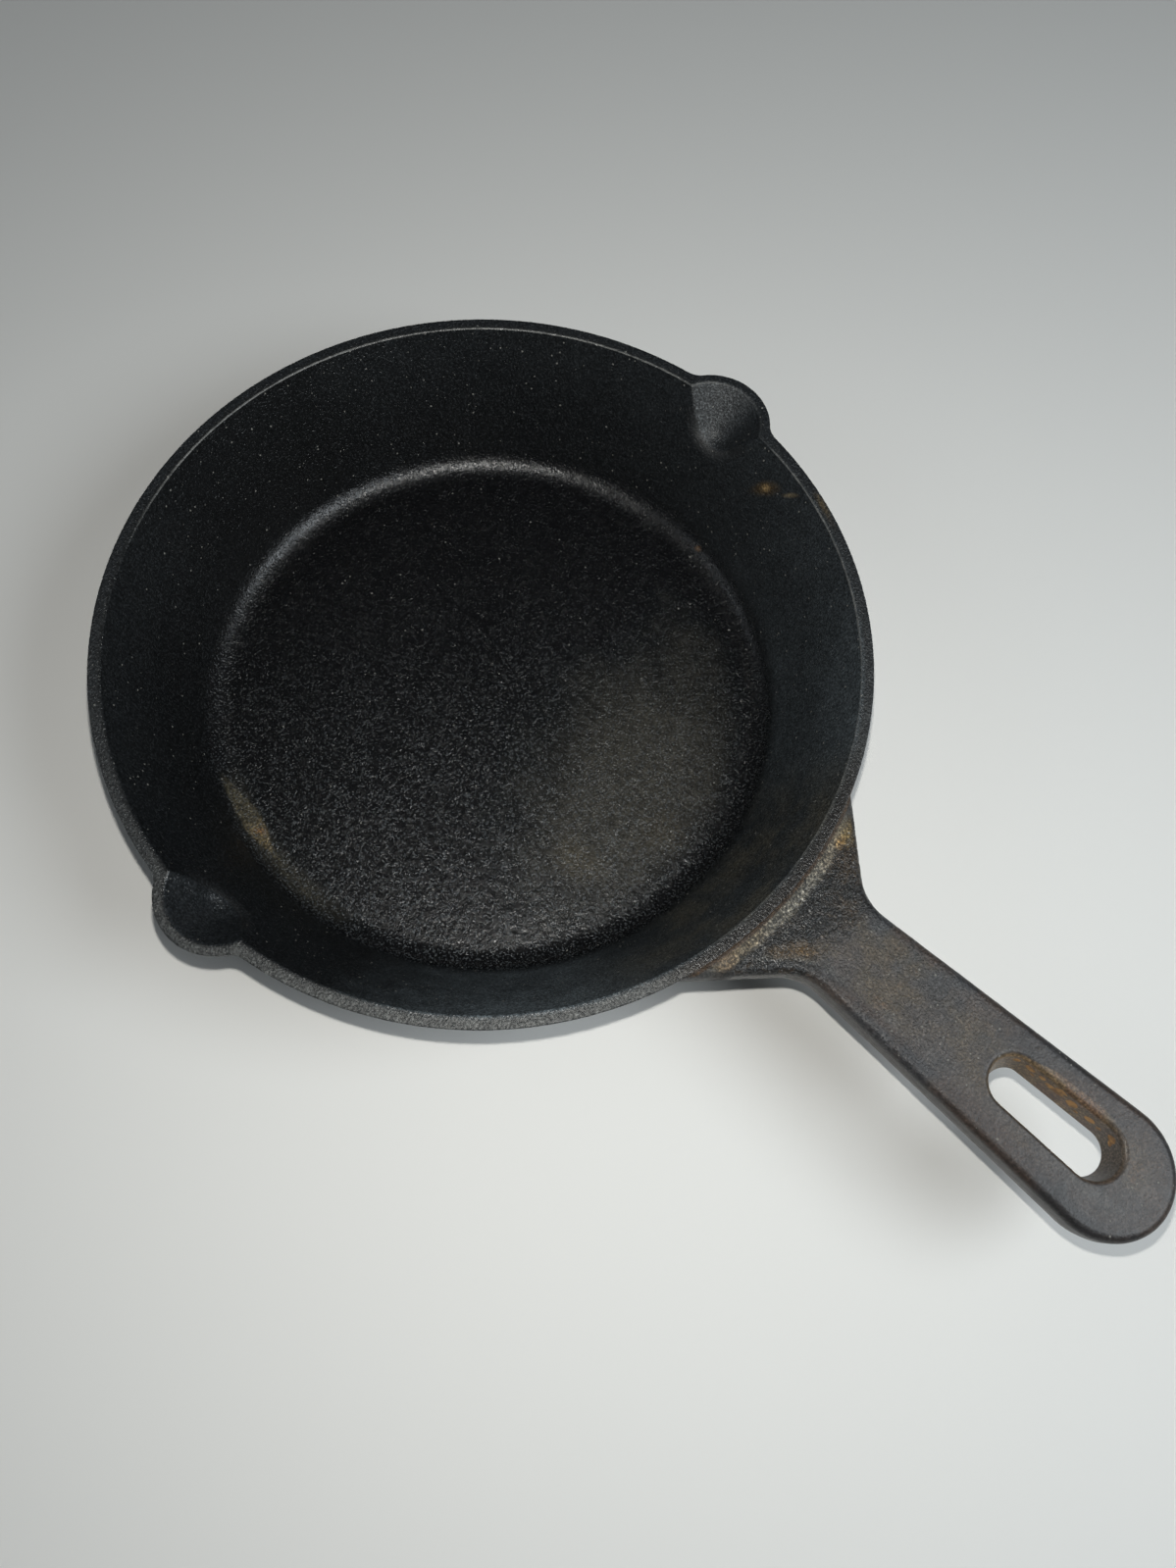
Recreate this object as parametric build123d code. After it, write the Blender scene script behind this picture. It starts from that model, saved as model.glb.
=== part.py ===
from build123d import *
import os
from math import tan, sin, cos, radians

# Cast iron skillet, nominal six inch, poured as a single casting.
# Frame: origin at the centre of the resting face, on the axis of the pan.
# +X runs out along the handle, the two pouring lips lie on +Y and -Y, +Z is up.
# The casting is written out as adjoining zones that touch over their full
# section: floor, side wall with rim, two lips, and the handle in three lengths.

# ---------------- driving dimensions, mm ----------------
RIM_R = 76.2            # outer radius of the rim
PAN_H = 33.0            # resting face to rim
RIM_LAND = 2.75         # width of the flat top of the rim
FLOOR_T = 3.35          # thickness of the floor
WALL_IN_DEG = 25.5      # lean of the inner wall from vertical
WALL_OUT_DEG = 24.0     # lean of the outer wall from vertical
FLOOR_FILLET = 6.0      # inside corner between floor and wall
BASE_FILLET = 6.0       # outside corner between base and wall
FLOOR_SPLIT_R = 55.4    # radius where the floor zone ends and the wall begins

LIP_OUT_R = 12.0        # ball radius of the outside of a lip
LIP_OUT_Y = 69.4        # its centre, out from the axis
LIP_OUT_UP = 1.2        # and above the rim
LIP_IN_Y = 69.1         # axis of the pouring scoop, out from the pan's axis
LIP_IN_R = 9.95         # scoop radius at the rim
LIP_IN_DEG = 38.0       # the scoop is a cone, this far from upright
LIP_IN_D = 9.2          # its depth below the rim, at its rounded bottom
LIP_BLEND = 3.5         # concave blend of a lip into the outer wall
LIP_ZONE_W = 34.0       # zone cut out of the wall for a lip
LIP_ZONE_D = 13.5       # and how far it reaches below the rim
LIP_ZONE_Y = 60.0

HANDLE_DROP = 1.5       # top of the handle below the rim
HANDLE_T = 7.5          # thickness of the grip
HANDLE_TIP_X = 160.0    # far end of the handle
HANDLE_END_R = 12.37    # full round of the end
GRIP_NECK_X = 91.0      # narrowest place
GRIP_NECK_HALF = 9.3    # half width there
FLARE_X = 96.5          # the flare runs at 45 degrees along y = FLARE_X - x
FLARE_FILLET = 10.0     # concave corner between flare and grip
ROOT_T = 10.5           # depth of the root where it meets the wall
ROOT_END_X = 106.0      # underside is level from here outwards
ROOT_IN_X = 55.0        # blank of the handle starts inside the wall
PART_LINE_DOWN = 4.0    # mould parting line below the top of the handle
HANDLE_DRAFT = 9.0      # degrees, sides below the parting line lean inwards
TOP_ROUND = 1.8         # rounding of the upper edges of the handle
LOW_ROUND = 1.5         # rounding of the lower edges
CREASE_UP = 0.9         # height of the fillet between handle top and rim
CREASE_OUT = 2.0        # and its reach over the handle

SLOT_X0, SLOT_X1 = 122.2, 149.0   # ends of the hanging slot at the top face
SLOT_R0, SLOT_R1 = 4.75, 5.25     # end radii at the top face
SLOT_Y = 0.7                      # as-cast offset of the slot
SLOT_DRAFT = 8.0                  # degrees, narrower below
SLOT_ROUND = 0.5

SHANK_X0 = 93.0         # root zone ends, shank zone begins
EYE_X0 = 117.0          # shank zone ends, eye zone begins

# ---------------- pan ----------------
out_r0 = RIM_R - PAN_H * tan(radians(WALL_OUT_DEG))
in_top = RIM_R - RIM_LAND
in_r0 = in_top - (PAN_H - FLOOR_T) * tan(radians(WALL_IN_DEG))


def turned(points, corner, radius):
    """A solid of revolution about Z from points in the XZ plane, with one rounded corner."""
    with BuildPart() as p:
        with BuildSketch(Plane.XZ) as s:
            with BuildLine():
                Polyline(*points, close=True)
            make_face()
            picked = s.vertices().sort_by_distance((corner[0], 0, corner[1]))[0]
            near = [
                v
                for v in s.vertices()
                if abs(v.X - corner[0]) < 1e-3 and abs(v.Z - corner[1]) < 1e-3
            ]
            fillet(near or [picked], radius)
        revolve(axis=Axis.Z)
    return p.part


pan_out = turned(
    [(0, 0), (out_r0, 0), (RIM_R, PAN_H), (0, PAN_H)], (out_r0, 0), BASE_FILLET
)
over = 6.0
cavity = turned(
    [
        (0, FLOOR_T),
        (in_r0, FLOOR_T),
        (in_top + over * tan(radians(WALL_IN_DEG)), PAN_H + over),
        (0, PAN_H + over),
    ],
    (in_r0, FLOOR_T),
    FLOOR_FILLET,
)

# ---------------- lips ----------------
lean = radians(LIP_IN_DEG)
point_z = PAN_H - LIP_IN_R / tan(lean)
scoop_z = (PAN_H - LIP_IN_D - sin(lean) * point_z) / (1 - sin(lean))
scoop_r = (scoop_z - point_z) * sin(lean)
join_z = scoop_z - scoop_r * sin(lean)
join_r = scoop_r * cos(lean)
scoop_h = PAN_H + 3 - join_z
scoop = Pos(0, 0, scoop_z) * Sphere(scoop_r) + Pos(0, 0, join_z + scoop_h / 2) * Cone(
    join_r, join_r + scoop_h * tan(lean), scoop_h
)
print("scoop ball", round(scoop_r, 3), "at", round(scoop_z, 3), "joins the cone at", round(join_z, 3), round(join_r, 3))
keep_below = Pos(0, 0, PAN_H / 2) * Box(400, 400, PAN_H)
body = pan_out
for side in (1, -1):
    ball = Pos(0, side * LIP_OUT_Y, PAN_H + LIP_OUT_UP) * Sphere(LIP_OUT_R)
    body = body + (ball & keep_below)
seams = [
    e
    for e in body.edges()
    if abs(e.center().Y) > 60
    and e.length > 3
    and e.center().Z < PAN_H - 0.5
    and abs(e.center().X) < 15
    and e.center().Z > PAN_H - 14
]
try:
    body = fillet(seams, LIP_BLEND)
except Exception as problem:
    print("lip blend left sharp:", problem)

# ---------------- handle ----------------
alpha = 0.0
for _ in range(30):
    end_x = HANDLE_TIP_X - HANDLE_END_R
    alpha = (HANDLE_END_R * cos(alpha) - GRIP_NECK_HALF) / (
        end_x - HANDLE_END_R * sin(alpha) - GRIP_NECK_X
    )
slope = tan(alpha)
tx, ty = end_x - HANDLE_END_R * sin(alpha), HANDLE_END_R * cos(alpha)
cx = (FLARE_X - ty + slope * tx) / (1 + slope)
cy = FLARE_X - cx
z_top = PAN_H - HANDLE_DROP
z_low = z_top - HANDLE_T

with BuildSketch() as plan:
    with BuildLine():
        Polyline(
            (tx, -ty),
            (cx, -cy),
            (ROOT_IN_X, -(FLARE_X - ROOT_IN_X)),
            (ROOT_IN_X, FLARE_X - ROOT_IN_X),
            (cx, cy),
            (tx, ty),
        )
        ThreePointArc((tx, ty), (HANDLE_TIP_X, 0), (tx, -ty))
    make_face()
    corners = [v for v in plan.vertices() if abs(v.X - cx) < 1e-3]
    fillet(corners, FLARE_FILLET)

with BuildSketch(Plane.XZ) as side_view:
    with BuildLine():
        Polyline(
            (ROOT_IN_X - 1, z_top + 5),
            (HANDLE_TIP_X + 5, z_top + 5),
            (HANDLE_TIP_X + 5, z_low),
            (ROOT_END_X, z_low),
            (RIM_R - 6, z_top - ROOT_T),
            (ROOT_IN_X - 1, z_top - ROOT_T),
            close=True,
        )
    make_face()
    bend = [v for v in side_view.vertices() if abs(v.X - ROOT_END_X) < 1e-3]
    fillet(bend, 45.0)

upper = Pos(0, 0, z_top - PART_LINE_DOWN) * extrude(plan.sketch, PART_LINE_DOWN)
upper = fillet(
    [e for e in upper.edges() if e.center().Z > z_top - 0.01 and e.center().X > ROOT_IN_X + 0.5],
    TOP_ROUND,
)
lower = Pos(0, 0, z_top - PART_LINE_DOWN) * extrude(
    plan.sketch, -(ROOT_T + 2 - PART_LINE_DOWN), taper=HANDLE_DRAFT
)
cutter = extrude(side_view.sketch, 80, both=True)
lower = lower & cutter
low_edges = [
    e
    for e in lower.edges()
    if e.center().X > RIM_R
    and e.center().Z < z_top - PART_LINE_DOWN - 1.5
    and abs(e.tangent_at(0.5).Z) < 0.6
    and (abs(e.center().Y) > 3 or e.center().X > HANDLE_TIP_X - 8)
]
try:
    lower = fillet(low_edges, LOW_ROUND)
except Exception as problem:
    print("lower edges left sharp:", problem)
handle = upper + lower

# ---------------- one casting ----------------
slot_face = make_hull(
    (
        Pos(SLOT_X0 + SLOT_R0, SLOT_Y) * Circle(SLOT_R0)
        + Pos(SLOT_X1 - SLOT_R1, SLOT_Y) * Circle(SLOT_R1)
    ).edges()
)
slot = extrude(Pos(0, 0, z_top) * slot_face, -(HANDLE_T + 2), taper=SLOT_DRAFT)
slot = slot + extrude(Pos(0, 0, z_top) * slot_face, 3)

casting = body + handle
casting = casting - cavity
for side in (1, -1):
    casting = casting - Pos(0, side * LIP_IN_Y, 0) * scoop
casting = casting - slot

# small concave fillet where the top of the handle runs into the rim
with BuildPart() as band:
    with BuildSketch(Plane.XZ):
        with BuildLine():
            r_hi = RIM_R - 0.15 - (HANDLE_DROP - CREASE_UP) * tan(radians(WALL_OUT_DEG))
            r_lo = RIM_R + CREASE_OUT
            Line((in_top + 1, z_top - 1), (in_top + 1, z_top + CREASE_UP))
            Line((in_top + 1, z_top + CREASE_UP), (r_hi, z_top + CREASE_UP))
            ThreePointArc(
                (r_hi, z_top + CREASE_UP),
                (r_hi + 0.33 * (r_lo - r_hi), z_top + 0.33 * CREASE_UP),
                (r_lo, z_top),
            )
            Line((r_lo, z_top), (r_lo, z_top - 1))
            Line((r_lo, z_top - 1), (in_top + 1, z_top - 1))
        make_face()
    revolve(axis=Axis.Z)
inset = offset(plan.sketch, amount=-TOP_ROUND)
casting = casting + (band.part & (Pos(0, 0, z_top - 2) * extrude(inset, 6)) & (Pos(RIM_R, 0, z_top) * Box(40, 70, 10)))

print("casting", casting.volume, casting.bounding_box(), len(casting.solids()), casting.is_valid)

# ---------------- zones ----------------
floor_tool = Pos(0, 0, 5) * Cylinder(FLOOR_SPLIT_R, 30)
pan_floor = casting & floor_tool
rest = casting - floor_tool
lip_tools = [
    Pos(0, side * (LIP_ZONE_Y + 20), PAN_H - LIP_ZONE_D / 2 + 2)
    * Box(LIP_ZONE_W, 40, LIP_ZONE_D + 4)
    for side in (1, -1)
]
lips = [rest & t for t in lip_tools]
for t in lip_tools:
    rest = rest - t

reach = Pos(120, 0, 15) * Box(130, 90, 60)
beyond = reach - pan_out
handle_all = rest & beyond
side_wall = rest - beyond
root_tool = Pos(SHANK_X0 - 50, 0, 15) * Box(100, 120, 80)
shank_tool = Pos((SHANK_X0 + EYE_X0) / 2, 0, 15) * Box(EYE_X0 - SHANK_X0, 120, 80)
eye_tool = Pos(EYE_X0 + 50, 0, 15) * Box(100, 120, 80)
zones = {
    "pan_floor": pan_floor,
    "side_wall": side_wall,
    "pour_spout_left": lips[0],
    "pour_spout_right": lips[1],
    "handle_root": handle_all & root_tool,
    "handle_shank": handle_all & shank_tool,
    "handle_eye": handle_all & eye_tool,
}

os.makedirs("parts", exist_ok=True)
total = 0.0
for name, shape in zones.items():
    solids = shape.solids()
    solid = solids[0] if len(solids) == 1 else Compound(children=list(solids))
    solid.label = name
    total += sum(s.volume for s in solids)
    print(name, len(solids), round(sum(s.volume for s in solids), 1))
    export_step(solid, f"parts/{name}.step")
print("sum of zones", round(total, 1), "casting", round(casting.volume, 1))
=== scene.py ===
import math
import bpy
import numpy as np
from mathutils import Matrix, Vector


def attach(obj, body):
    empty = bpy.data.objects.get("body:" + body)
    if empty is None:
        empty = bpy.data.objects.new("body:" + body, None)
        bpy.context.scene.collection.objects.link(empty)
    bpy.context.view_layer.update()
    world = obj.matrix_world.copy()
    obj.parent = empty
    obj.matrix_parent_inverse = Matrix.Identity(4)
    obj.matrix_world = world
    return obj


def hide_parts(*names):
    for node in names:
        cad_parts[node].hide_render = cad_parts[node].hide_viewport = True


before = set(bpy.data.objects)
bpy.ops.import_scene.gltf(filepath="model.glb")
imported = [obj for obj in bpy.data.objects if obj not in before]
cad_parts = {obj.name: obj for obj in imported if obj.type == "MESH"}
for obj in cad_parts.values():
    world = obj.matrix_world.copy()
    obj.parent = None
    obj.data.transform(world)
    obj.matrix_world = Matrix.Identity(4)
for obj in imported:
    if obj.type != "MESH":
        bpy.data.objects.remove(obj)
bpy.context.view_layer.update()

# ------------------------------------------------------------------ dimensions, mm
H = 33.0                      # resting face to rim
RIM_R = 76.2                  # outer radius of the rim
IN_TOP = RIM_R - 2.75         # inner radius at the rim
FLOOR_T = 3.35
T_OUT, T_IN = math.radians(24.0), math.radians(25.5)
CO, SO = math.cos(T_OUT), math.sin(T_OUT)
CI, SI = math.cos(T_IN), math.sin(T_IN)
FIL = 6.0                     # floor fillet, inside and outside
RIM_IN_RD, RIM_OUT_RD = 0.30, 0.28  # rounding of the two edges of the rim
LIP_OUT = (69.4, H + 1.2, 12.0)
LIP_IN_Y, LIP_IN_R, LIP_IN_D = 69.1, 9.95, 9.2   # the scoop: axis, radius at the rim, depth
LIP_LEAN = math.radians(38.0)
POINT_Z = H - LIP_IN_R / math.tan(LIP_LEAN)
SCOOP_Z = (H - LIP_IN_D - math.sin(LIP_LEAN) * POINT_Z) / (1 - math.sin(LIP_LEAN))
SCOOP_R = (SCOOP_Z - POINT_Z) * math.sin(LIP_LEAN)
LIP_BLEND = 3.5
ZT = H - 1.5                  # top of the handle
ZP = ZT - 4.0                 # mould parting line
ZL = ZT - 7.5                 # underside of the grip
TIP_X, END_R = 160.0, 12.37
END_X = TIP_X - END_R
NECK_X, NECK = 91.0, 9.3
FLARE_X, FLARE_FIL = 96.5, 10.0
DRAFT = math.radians(9.0)
ROOT_END, ROOT_LOW, ROOT_LOW_X = 106.0, ZT - 10.5, RIM_R - 6.0
SLOT_X0, SLOT_X1, SLOT_R0, SLOT_R1, SLOT_Y = 122.2, 149.0, 4.75, 5.25, 0.7
SLOT_DRAFT = math.radians(8.0)

alpha = 0.0
for _ in range(30):
    alpha = (END_R * math.cos(alpha) - NECK) / (END_X - END_R * math.sin(alpha) - NECK_X)
alpha = math.atan(alpha)
CA, SA = math.cos(alpha), math.sin(alpha)
TX, TY = END_X - END_R * SA, END_R * CA


# ------------------------------------------------------------------ distance field
def rmax(a, b, R, g):
    """Where both fields hold, with the corner between them rounded to R. g is the dot product of their normals."""
    k = 1.0 / (1.0 - g * g)
    A, B = a + R, b + R
    turn = (A - g * B > 0) & (B - g * A > 0)
    d = np.sqrt(np.maximum(A * A + B * B - 2 * g * A * B, 0) * k) - R
    return np.where(turn, d, np.maximum(a, b))


def rmin(a, b, R, g):
    return -rmax(-a, -b, R, g)


def cone_out(r, z):
    return (r - (RIM_R - (H - z) * math.tan(T_OUT))) * CO


def cone_in(r, z):
    return (r - (IN_TOP - (H - z) * math.tan(T_IN))) * CI


def outline(x, y):
    """The handle seen from above."""
    ay = np.sqrt(y * y + 1e-6)
    grip = -SA * (x - TX) + CA * (ay - TY)
    past = CA * (x - TX) + SA * (ay - TY) > 0
    end = np.hypot(x - END_X, ay) - END_R
    grip = np.where(past, end, grip)
    flare = (x + ay - FLARE_X) * math.sqrt(0.5)
    return rmin(grip, flare, FLARE_FIL, (CA - SA) * math.sqrt(0.5))


def slot_plan(x, y):
    """The hanging slot at the top face: a tapered round-ended slot."""
    a, b = SLOT_X0 + SLOT_R0, SLOT_X1 - SLOT_R1
    L = b - a
    s = (SLOT_R1 - SLOT_R0) / L
    c = math.sqrt(1 - s * s)
    px, py = x - a, np.abs(y - SLOT_Y)
    t = np.clip((px + py * s / c) / L, 0, 1)
    return np.hypot(px - t * L, py) - (SLOT_R0 + t * (SLOT_R1 - SLOT_R0))


def handle(x, y, z):
    plan = outline(x, y)
    side = np.where(z > ZP, plan, (plan + (ZP - z) * math.tan(DRAFT)) * math.cos(DRAFT))
    f = rmax(side, z - ZT, 1.8, 0.0)
    slope = math.atan((ZL - ROOT_LOW) / (ROOT_END - ROOT_LOW_X))
    ramp = (ZL - (ROOT_END - x) * math.tan(slope) - z) * math.cos(slope)
    low = rmin(ZL - z, ramp, 45.0, math.cos(slope))
    f = rmax(f, low, 1.5, 0.15)
    f = np.maximum(f, 62.0 - x)
    t = np.clip((127.5 - x) / 5.0, 0, 1)
    hole = (slot_plan(x, y) + (ZT - z) * (math.tan(SLOT_DRAFT) + 0.20 * t * t * (3 - 2 * t))) * math.cos(SLOT_DRAFT)
    hole = rmax(-hole, np.maximum(z - ZT, ZL - z), 0.8 + 0.25 * np.clip((y - SLOT_Y) / 4.0, 0, 1), 0.0)
    return np.where(x > 110, np.maximum(f, hole), f)


def scoop(x, y, z):
    """The pouring scoop, a cone with a ball for its point, and the field's slope outwards and upwards."""
    c, s = math.cos(LIP_LEAN), math.sin(LIP_LEAN)
    q, h = np.hypot(x, y - LIP_IN_Y), z - SCOOP_Z
    ball = np.hypot(q, h) + 1e-9
    side = (q - (z - POINT_Z) * math.tan(LIP_LEAN)) * c
    low = h * c < -s * q
    d = np.where(low, ball - SCOOP_R, side)
    return d, np.where(low, q / ball, c), np.where(low, h / ball, -s)


def cavity(x, y, z):
    """The hollow of the pan with both scoops, negative in the hollow."""
    r = np.hypot(x, y)
    cav = rmax(cone_in(r, z), FLOOR_T - z, FIL, SI)
    lip = np.flatnonzero((np.abs(x) < 24) & (np.abs(y) > 54) & (z > 14))
    if len(lip):
        lx, ly, lz, lr = x[lip], np.abs(y[lip]), z[lip], r[lip]
        s, nr, nz = scoop(lx, ly, lz)
        q = np.hypot(lx, ly - LIP_IN_Y) + 1e-6
        g = CI * (lx * lx + ly * (ly - LIP_IN_Y)) / (lr * q) * nr - SI * nz
        R = 0.7 + 2.6 * np.clip((31.5 - lz) / 6.0, 0, 1)
        cav[lip] = rmin(cav[lip], s, R, np.clip(g, -0.95, 0.95))
    return cav


def field(p):
    """Signed distance, negative inside the iron. p is N x 3, mm."""
    x, y, z = p[:, 0], p[:, 1], p[:, 2]
    r = np.hypot(x, y)
    cone = cone_out(r, z)
    lip = np.flatnonzero((np.abs(x) < 24) & (np.abs(y) > 54) & (z > 14))
    if len(lip):
        lx, ly, lz, lr = x[lip], np.abs(y[lip]), z[lip], r[lip]
        cy, cz, rad = LIP_OUT
        v = np.stack([lx, ly - cy, lz - cz])
        d = np.sqrt((v * v).sum(0)) + 1e-9
        g = (CO * (lx * v[0] + ly * v[1]) / lr - SO * v[2]) / d
        cone[lip] = rmin(cone[lip], d - rad, LIP_BLEND, np.clip(g, -0.98, 0.98))
    o = rmax(cone, -z, FIL, SO)
    near = np.flatnonzero((x > 62) & (np.abs(y) < 34) & (z > 12))
    if len(near):
        nx, ny, nz = x[near], y[near], z[near]
        h = handle(nx, ny, nz)
        oo = o[near]
        m = np.flatnonzero((np.abs(oo) < 8) & (np.abs(h) < 8))
        out = np.minimum(oo, h)
        if len(m):
            mx, my, mz, mr = nx[m], ny[m], nz[m], r[near][m]
            e = 0.02
            g = np.stack([
                handle(mx + e, my, mz) - handle(mx - e, my, mz),
                handle(mx, my + e, mz) - handle(mx, my - e, mz),
                handle(mx, my, mz + e) - handle(mx, my, mz - e),
            ])
            g /= np.sqrt((g * g).sum(0)) + 1e-9
            dot = CO * (g[0] * mx + g[1] * my) / mr - SO * g[2]
            R = 0.5 + 1.9 * np.clip((30.8 - mz) / 3.0, 0, 1)
            joined = rmin(oo[m], h[m], R, np.clip(dot, -0.97, 0.97))
            # the ramp of iron between the rim and the top of the handle
            t = np.clip((mr - 75.6) / 2.6, 0, 1)
            up = 1.32 * (1 - t) ** 1.6
            ramp_top = (mz - (ZT - 0.05) - up) * 0.86
            band = np.maximum(np.maximum(ramp_top, ZT - 2.0 - mz), outline(mx, my) + 1.6)
            out[m] = rmin(joined, np.maximum(band, mr - 78.2), 0.3, 0.5)
        o[near] = out
    f = rmax(o, z - H, RIM_OUT_RD, -0.36)
    return rmax(f, -cavity(x, y, z), RIM_IN_RD, 0.38)


def gradient(p, e=0.03):
    g = np.empty_like(p)
    for k in range(3):
        d = np.zeros(3)
        d[k] = e
        g[:, k] = field(p + d) - field(p - d)
    n = np.linalg.norm(g, axis=1, keepdims=True)
    return g / np.maximum(n, 1e-9), n[:, 0] / (2 * e)


# ------------------------------------------------------------------ grid that follows the casting
STEP = 1.0
SHEAR = 0.461                 # grid layers lean with the wall
Z_REF = 27.5
RHO_C = 46.0                  # inside this the floor is meshed in rings


def spaced(*runs):
    """Grid levels from (start, step) runs, ending with the last start."""
    out = []
    for (a, h), (b, _) in zip(runs[:-1], runs[1:]):
        n = max(1, round((b - a) / (h * STEP)))
        out += list(np.linspace(a, b, n, endpoint=False))
    return np.array(out + [runs[-1][0]])


rho_pan = spaced((RHO_C, 0.36), (56.9, 0.22), (58.7, 0.36), (60.5, 0.24), (61.9, 0.33), (67.0, 0))
rho_bar = spaced((67.0, 0.34), (149.2, 0))
rho = np.concatenate([rho_pan, rho_bar[1:]])
zs = spaced((-0.21, 0.42), (0.21, 0.36), (8.9, 0.36), (23.5, 0.32), (31.1, 0.2), (33.25, 0))
NJ = int(1260 / STEP) // 2 * 2
WIN = int(round(NJ * 17.5 / 360))
NP, NI, NK = len(rho_pan), len(rho), len(zs)


def place(i, j, k):
    """Grid node to its place. j runs round the pan; past the wall the lines near the handle turn to run along it."""
    q, z = rho[i], zs[k]
    th = 2 * np.pi * j / NJ
    th = np.where(th > np.pi, th - 2 * np.pi, th)
    t = np.clip((q - 62.5) / 24.0, 0, 1)
    w = t * t * (3 - 2 * t)
    r = q + SHEAR * (Z_REF + (z - Z_REF) * (1 - w))
    y_end = th / (2 * np.pi * WIN / NJ) * 14.3
    wide = np.abs(th) < 0.6
    x = np.where(wide, r * ((1 - w) * np.cos(th) + w), r * np.cos(th))
    y = np.where(wide, (1 - w) * r * np.sin(th) + w * y_end, r * np.sin(th))
    return np.stack([x, y, z], -1)


# most of the pan is the same all the way round, so only one column of it is evaluated
def pan_blocks():
    th = 360.0 / NJ
    special = set()
    for j in range(NJ):
        a = (j * th + 180) % 360 - 180
        if abs(a) < 24 or abs(abs(a) - 90) < 18:
            special.add(j)
    plain = [j for j in range(NJ) if j not in special]
    I, K = np.arange(NP), np.arange(NK)
    F = np.empty((NP, NJ, NK))
    def column(js):
        g = np.meshgrid(I, js, K, indexing="ij")
        return field(place(*[v.ravel() for v in g])).reshape(NP, len(js), NK)
    F[:, plain] = column([plain[len(plain) // 2]])
    special = sorted(special)
    for s in range(0, len(special), 40):
        F[:, special[s:s + 40]] = column(special[s:s + 40])
    return F


def crossings(F, i0, js, wrap):
    ids, ts, ins = [], [], []
    S = F < 0
    js = np.asarray(js)
    for axis in range(3):
        if axis == 1 and wrap:
            A, B = F, np.roll(F, -1, 1)
            change = S != np.roll(S, -1, 1)
        else:
            lo = tuple(slice(0, -1) if a == axis else slice(None) for a in range(3))
            hi = tuple(slice(1, None) if a == axis else slice(None) for a in range(3))
            A, B = F[lo], F[hi]
            change = S[lo] != S[hi]
        a, b, c = np.nonzero(change)
        fa, fb = A[a, b, c], B[a, b, c]
        ids.append(np.stack([np.full(len(a), axis), a + i0, js[b] % NJ, c], 1))
        ts.append(fa / (fa - fb))
        ins.append(fa < 0)
    return np.concatenate(ids), np.concatenate(ts), np.concatenate(ins)


def net():
    F = pan_blocks()
    e1 = crossings(F, 0, np.arange(NJ), True)
    js = np.arange(-WIN, WIN + 1)
    I, K = np.arange(NP - 1, NI), np.arange(NK)
    G = np.empty((len(I), len(js), NK))
    for s in range(0, len(js), 20):
        g = np.meshgrid(I, js[s:s + 20] % NJ, K, indexing="ij")
        G[:, s:s + 20] = field(place(*[v.ravel() for v in g])).reshape(len(I), -1, NK)
    e2 = crossings(G, NP - 1, js, False)
    ids = np.concatenate([e1[0], e2[0]])
    t = np.concatenate([e1[1], e2[1]])
    inside = np.concatenate([e1[2], e2[2]])
    key = ((ids[:, 0] * NI + ids[:, 1]) * NJ + ids[:, 2]) * NK + ids[:, 3]
    _, first = np.unique(key, return_index=True)
    ids, t, inside = ids[first], t[first], inside[first]
    ax, i, j, k = ids.T
    step = np.eye(3, dtype=int)[ax]
    a = place(i, j, k)
    b = place(i + step[:, 0], (j + step[:, 1]) % NJ, k + step[:, 2])
    at = a + (b - a) * t[:, None]
    # the four cells round each edge, in order
    u, v = (ax + 1) % 3, (ax + 2) % 3
    E = np.eye(3, dtype=int)
    cell = np.stack([ids[:, 1:], ids[:, 1:] - E[u], ids[:, 1:] - E[u] - E[v], ids[:, 1:] - E[v]], 1)
    cell[..., 1] %= NJ
    gone = (cell[..., 0] < 0)
    code = (cell[..., 0] * NJ + cell[..., 1]) * NK + cell[..., 2]
    code[gone] = -1
    cells, where = np.unique(code.ravel(), return_inverse=True)
    where = where.reshape(code.shape)
    n = np.bincount(where.ravel(), minlength=len(cells)).astype(float)
    co = np.stack([np.bincount(where.ravel(), np.repeat(at[:, d], 4), len(cells)) / n for d in range(3)], 1)
    quads = where[~gone.any(1)]
    flip = inside[~gone.any(1)]
    quads = np.where(flip[:, None], quads, quads[:, ::-1])
    if cells[0] == -1:
        cells, co, quads = cells[1:], co[1:], quads - 1
    return co, quads, cells


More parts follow.
